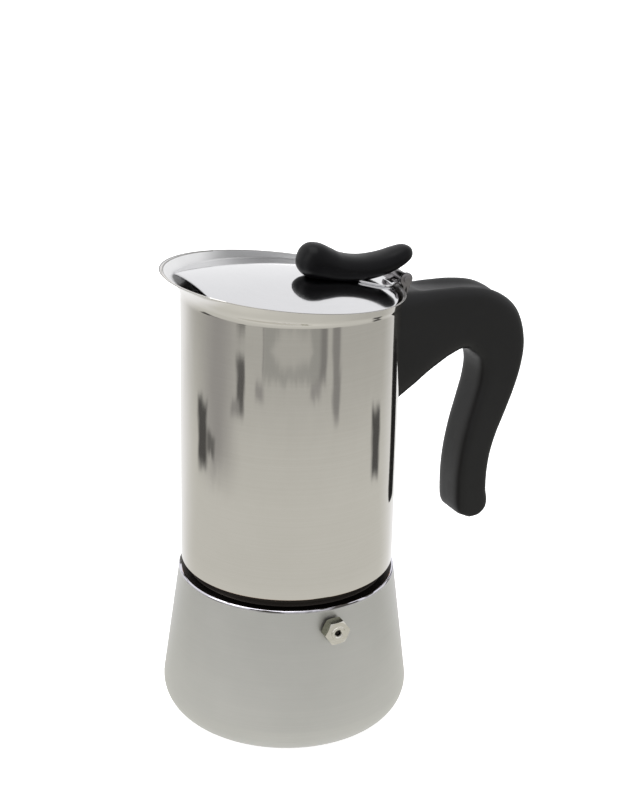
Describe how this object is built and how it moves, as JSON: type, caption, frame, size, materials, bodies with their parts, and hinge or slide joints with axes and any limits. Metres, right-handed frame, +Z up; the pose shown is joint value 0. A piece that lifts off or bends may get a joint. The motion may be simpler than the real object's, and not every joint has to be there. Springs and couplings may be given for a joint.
{
  "type": "moka pot",
  "caption": "Stove-top coffee maker: a boiler with a safety valve, a funnel filter, and an upper jug with a flared spout, hinged lid and open side handle.",
  "frame": {"origin": "centre of the boiler's flat foot, on the surface it stands on", "axes": "+Z up along the pot, +X towards the handle, -X towards the spout; the safety valve faces close to -Y"},
  "size_m": [0.1601, 0.1036, 0.2017],
  "materials": {
    "polished_steel": "mirror polished stainless steel",
    "satin_steel": "satin stainless steel",
    "inner_steel": "plain turned or pressed steel",
    "valve_metal": "nickel plated brass, slightly worn",
    "silicone": "food-grade silicone, matt",
    "black_plastic": "black moulded heat-resistant plastic, fine matt texture"
  },
  "bodies": {
    "boiler": {"boiler_shell": "satin_steel", "boiler_neck": "inner_steel", "valve_body": "valve_metal", "valve_washer": "inner_steel", "valve_nut": "valve_metal", "valve_seat": "inner_steel", "valve_spring": "inner_steel"},
    "valve_plunger": {"valve_plunger": "inner_steel"},
    "funnel": {"funnel_basket": "satin_steel", "funnel_stem": "satin_steel", "funnel_strainer": "inner_steel"},
    "gasket": {"gasket": "silicone"},
    "filter_plate": {"filter_plate": "inner_steel"},
    "collector": {"vessel_shell": "polished_steel", "vessel_floor": "satin_steel", "thread_collar": "inner_steel", "coffee_column": "satin_steel", "column_cap": "satin_steel", "handle_bracket": "inner_steel", "hinge_bracket": "polished_steel", "handle": "black_plastic", "handle_screw": "inner_steel", "hinge_pin": "polished_steel"},
    "lid": {"lid_plate": "polished_steel", "lid_leaf": "polished_steel", "knob": "black_plastic", "knob_screw": "inner_steel", "knob_washer": "inner_steel"}
  },
  "joints": [
    {"name": "lift_off", "type": "slide", "parent": "boiler", "child": "gasket", "axis": [0, 0, 1], "range_m": [0, 0.14]},
    {"name": "screw_rise", "type": "slide", "parent": "gasket", "child": "filter_plate", "axis": [0, 0, 1], "range_m": [0, 0.00376]},
    {"name": "screw_turn", "type": "hinge", "parent": "filter_plate", "child": "collector", "pos_m": [0, 0, 0.06], "axis": [0, 0, 1], "range_deg": [0, 450]},
    {"name": "lid_hinge", "type": "hinge", "parent": "collector", "child": "lid", "pos_m": [0.0484, 0, 0.1841], "axis": [0, 1, 0], "range_deg": [0, 90]},
    {"name": "funnel_lift", "type": "slide", "parent": "boiler", "child": "funnel", "axis": [0, 0, 1], "range_m": [0, 0.07]},
    {"name": "valve_lift", "type": "slide", "parent": "boiler", "child": "valve_plunger", "axis": [-0.0349, -0.9994, 0], "range_m": [0, 0.0015], "stiffness_N_per_m": 2000, "springref_m": -0.001, "deforming": ["valve_spring"]}
  ],
  "couplings": [
    {"joint": "screw_rise", "follows": "screw_turn", "m_per_rad": 0.00047746},
    {"joint": "funnel_lift", "follows": "lift_off", "ratio": 0.5}
  ]
}
